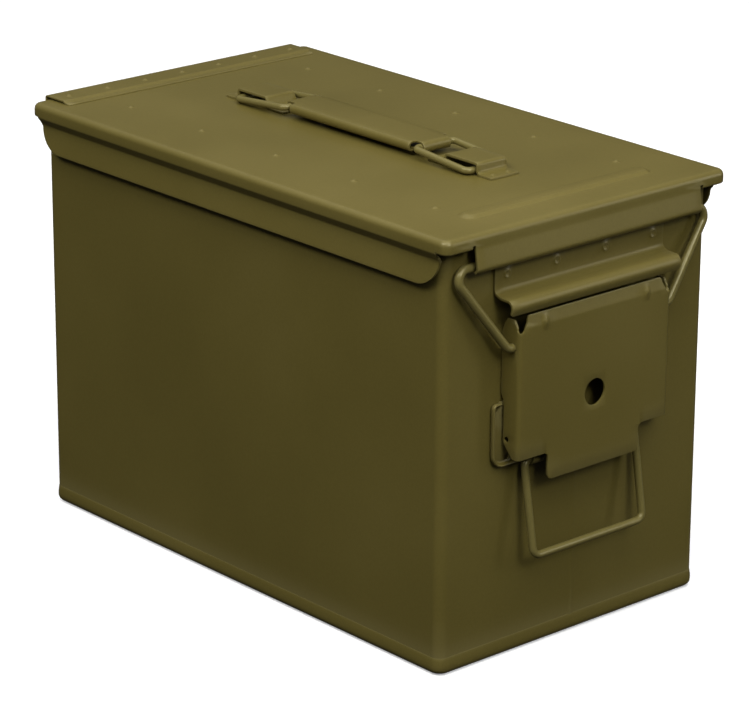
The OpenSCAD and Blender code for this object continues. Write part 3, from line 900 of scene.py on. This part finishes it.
def hinge_strip():
    """The lid's hinge leaf: joggled front edge, seven welds, wrapped over the rear and rolled."""
    low, high = edges("hinge_lid_leaf")
    half = high.x
    back = high.y
    top = LID_TOP + 1.9
    path = smooth_path([(low.y - 1.5, LID_TOP + 0.75), (low.y + 1.6, LID_TOP + 0.85), (low.y + 3.4, top),
                        (back, top), (back, HINGE.z)], 1.6, 6)[:-1]
    radius = back - HINGE.y
    flat_end = Track(path + [Vector((back, 211.2))]).length
    track = Track(path + [Vector(p) for p in arc(HINGE.y, HINGE.z, radius, 0, -285, 22)])
    welds = [(25.0 * k, (147.6 - low.y) + 3.4) for k in range(-3, 4)]

    def place(u, v):
        y, z = track.at(v)
        more = sum(nugget(math.hypot(u - a, v - b), 0.75, 1.5) for a, b in welds if abs(u - a) < 5)
        return (u, y, z + more)

    spans = [(-81, -49), (-16, 16), (49, 81)]
    outline = [(-half + 1, 0), (half - 1, 0), (half, 1), (half, flat_end)]
    for x0, x1 in reversed(spans):
        outline += [(x1, flat_end), (x1, track.length), (x0, track.length), (x0, flat_end)]
    outline += [(-half, flat_end), (-half, 1)]
    us = merged(steps(-half, half, 7) + [w[0] + d for w in welds for d in (-2.4, -1.2, 0, 1.2, 2.4)], 0.4)
    part = pressed(outline, [], us, track.bends(1.5), place, thick=0.98, flip=False,
                   extra=rings_about(welds, (0, 0.8, 1.5, 2.2, 2.9)))
    mesh_piece("hinge_strip", "lid", PAINT, *part, ["hinge_lid_leaf"], bevel=0.22)


# ---------------------------------------------------------------- top handle

STRAP_HALF = edges("handle_strap_rear")[1].x


def strap(name, sign):
    """A raised strap with two feet; sign is 1 at the rear and -1 at the front."""
    low, high = edges("handle_strap_rear")
    foot_in, foot_out, top = low.y, high.y, high.z
    foot = LID_TOP + SHEET
    path = [(foot_in, foot), (65.5, foot), (68.5, top), (91.2, top), (91.4, foot), (foot_out, foot)]
    track = Track(smooth_path(path, 1.9, 6))
    welds = [(x, track.length - 3.7) for x in (-5, 5)] + [(x, 4.0) for x in (-5, 5)]

    def place(u, v):
        y, z = track.at(v)
        more = sum(nugget(math.hypot(u - a, v - b), 0.6, 1.2) for a, b in welds)
        return (u, sign * y, z + more)

    end = track.length
    outline = rounded_outline([(-STRAP_HALF, 0), (STRAP_HALF, 0), (STRAP_HALF, end), (-STRAP_HALF, end)],
                              1.4)
    part = pressed(outline, [], steps(-STRAP_HALF, STRAP_HALF, 3), track.bends(2.2), place,
                   flip=sign < 0, extra=rings_about(welds, (0, 0.8, 1.5, 2.2)))
    mesh_piece("strap_" + name, "lid", PAINT, *part, ["handle_strap_" + name], bevel=0.25)


def ring(name, sign):
    """A bent wire ring: inner crossbar in the grip's curl, outer crossbar under the strap."""
    radius = 1.75
    low, high = edges("handle_ring_rear")
    half = high.x - radius
    out_y = high.y - radius * 0.997
    out_z = low.z + radius
    y, z = RING_PIVOT.y, RING_PIVOT.z
    points = [(0.4, sign * y, z), (half, sign * y, z), (half, sign * out_y, out_z)]
    points += [(-a, b, c) for a, b, c in reversed(points)]
    mesh_piece("ring_" + name, "ring_" + name, PAINT_WIRE, *tube(points, radius, 3.0, 20),
               ["handle_ring_" + name], bevel=0)


def grip():
    """The sheet grip: rolled long edges, and tongues curled round the rings at both ends."""
    high = edges("handle_grip")[1]
    half, top = high.x, high.z
    reach = RING_PIVOT.y
    roll = 2.7
    edge = [(half - roll + roll * c, top - roll - 0.35 + roll * s) for c, s in unit_arc(70, -150, 16)]
    right = [(0.0, top), (5.0, top - 0.05), (8.2, top - 0.15)] + edge
    track = Track([(-x, z) for x, z in reversed(right)] + right[1:])
    centre = track.length / 2
    tongue = 8.9
    body_end = reach - 4.2
    curl_r = top - RING_PIVOT.z
    curl = Track([(body_end - 5, top), (reach, top)] +
                 arc(reach, RING_PIVOT.z, curl_r, 90, -190, 22)[1:])

    def place(u, v):
        x, z = track.at(u + centre)
        if abs(u) <= tongue + 0.3 and abs(v) > body_end - 5:
            y, cz = curl.at(abs(v) - (body_end - 5))
            return (x, math.copysign(y, v), cz + (z - top))
        return (x, v, z)

    end = body_end - 5 + curl.length
    wide = centre
    quarter = [(wide, -body_end + 1.2), (wide, body_end - 1.2), (wide - 1.5, body_end),
               (tongue + 0.9, body_end), (tongue, body_end + 0.8), (tongue, end - 1), (tongue - 1, end)]
    top_half = quarter[1:]
    outline = [(u, v) for u, v in top_half] + [(-u, v) for u, v in reversed(top_half)]
    outline += [(-u, -v) for u, v in top_half] + [(u, -v) for u, v in reversed(top_half)]
    us = [u - centre for u in track.bends(1.2)]
    vs = [s * (body_end - 5 + c) for s in (-1, 1) for c in curl.bends(1.2)]
    vs = merged(vs + steps(-body_end + 5, body_end - 5, 5), 0.3)
    part = pressed(outline, [], merged(us, 0.3), vs, place, thick=1.0, flip=False)
    mesh_piece("grip", "grip", PAINT, *part, ["handle_grip"], bevel=0.2)


# ---------------------------------------------------------------- pieces the CAD already has right

def finish_cad_nodes():
    """Gives the kept CAD nodes their materials and softened edges."""
    looks = {"hinge_body_leaf": PAINT, "gasket_rail_left": PAINT, "gasket_rail_right": PAINT,
             "lid_gasket": RUBBER, "hinge_pin_left": PIN, "hinge_pin_right": PIN}
    for name, material in looks.items():
        piece = frame["nodes"][name]
        piece.data.materials.clear()
        piece.data.materials.append(material)
        soft = piece.modifiers.new("edge", "BEVEL")
        soft.width = 0.2 * MM
        soft.segments = 2
        soft.limit_method = "ANGLE"
        soft.angle_limit = math.radians(50)


# ---------------------------------------------------------------- stage

def floor():
    """A plain pale floor."""
    bpy.ops.mesh.primitive_plane_add(size=12, location=(0, 0, -0.0003))
    ground = bpy.context.active_object
    ground.name = "floor"
    material = bpy.data.materials.new("floor")
    material.use_nodes = True
    tree = material.node_tree
    shader = tree.nodes["Principled BSDF"]
    place = node(tree, "ShaderNodeTexCoord").outputs["Object"]
    mottle = node(tree, "ShaderNodeTexNoise", {"Vector": place}, Scale=3.0, Detail=2.0)
    tree.links.new(ramp(tree, mottle.outputs["Fac"], [(0.3, 0.9), (0.7, 0.92)]),
                   shader.inputs["Base Color"])
    shader.inputs["Roughness"].default_value = 0.9
    shader.inputs["Specular IOR Level"].default_value = 0.1
    shader.inputs["Emission Color"].default_value = (1, 1, 1, 1)
    shader.inputs["Emission Strength"].default_value = 0.3
    ground.data.materials.append(material)
    ground.visible_diffuse = False
    ground.visible_glossy = False


def area_light(name, place, target, size, power, colour=(1, 1, 1)):
    """A soft rectangular light that faces the target."""
    data = bpy.data.lights.new(name, "AREA")
    data.shape = "RECTANGLE"
    data.size, data.size_y = size
    data.energy = power
    data.color = colour
    light = bpy.data.objects.new(name, data)
    bpy.context.scene.collection.objects.link(light)
    light.location = place
    light.rotation_mode = "QUATERNION"
    light.rotation_quaternion = (Vector(target) - Vector(place)).to_track_quat("-Z", "Y")
    return light


def studio():
    """A dim sky above a dark ground, and softboxes overhead, in front, at both sides and behind."""
    world = bpy.data.worlds.new("studio")
    world.use_nodes = True
    tree = world.node_tree
    way = node(tree, "ShaderNodeTexCoord").outputs["Generated"]
    height = node(tree, "ShaderNodeSeparateXYZ", {"Vector": way}).outputs["Z"]
    sky = ramp(tree, height, [(0.0, 0.02), (0.3, 0.07), (1.0, 0.4)])
    tree.links.new(sky, tree.nodes["Background"].inputs["Color"])
    tree.nodes["Background"].inputs["Strength"].default_value = 1.0
    bpy.context.scene.world = world
    area_light("overhead", (-0.2, 0.5, 2.6), (0, 0, 0.1), (2.8, 2.8), 20)
    area_light("low_box", (-0.3, -0.6, 1.1), (-0.05, -0.15, 0.2), (1.2, 0.9), 11)
    area_light("front_key", (-0.45, -2.1, 1.5), (0, -0.15, 0.12), (0.6, 0.5), 16)
    area_light("right_strip", (1.7, -1.7, 0.75), (0, -0.15, 0.15), (0.35, 1.2), 8)
    area_light("side_box", (-1.9, 0.1, 2.1), (0, 0, 0.12), (1.5, 0.7), 33)
    fill = area_light("back_fill", (0.9, 2.3, 1.3), (0, 0, 0.12), (1.2, 1.0), 7)
    fill.visible_glossy = False
    bpy.context.scene.view_settings.view_transform = "Standard"


def camera():
    """The view: down the latch-end corner from the left, through a long lens."""
    azimuth, elevation, roll = (math.radians(a) for a in (-41.57, 19.33, 0.34))
    target, distance = Vector((0.0019, -0.0042, 0.1049)), 1.83
    back = Vector((math.sin(azimuth) * math.cos(elevation), -math.cos(azimuth) * math.cos(elevation),
                   math.sin(elevation)))
    right = Vector((math.cos(azimuth), math.sin(azimuth), 0))
    up = back.cross(right)
    level_right, level_up = right, up
    right = level_right * math.cos(roll) + level_up * math.sin(roll)
    up = level_up * math.cos(roll) - level_right * math.sin(roll)
    data = bpy.data.cameras.new("camera")
    data.sensor_width = 36
    data.lens = 171.4
    data.clip_start, data.clip_end = 0.05, 50
    view = bpy.data.objects.new("camera", data)
    bpy.context.scene.collection.objects.link(view)
    turn = Matrix((right, up, back)).transposed().to_4x4()
    view.matrix_world = Matrix.Translation(target + back * distance) @ turn
    bpy.context.scene.camera = view


camera()
studio()
floor()
body_shell()
bottom_pan()
catch()
bracket()
handle_loops()
lever()
bail()
front_handle()
lid()
hinge_strip()
strap("front", -1)
strap("rear", 1)
ring("front", -1)
ring("rear", 1)
grip()
finish_cad_nodes()
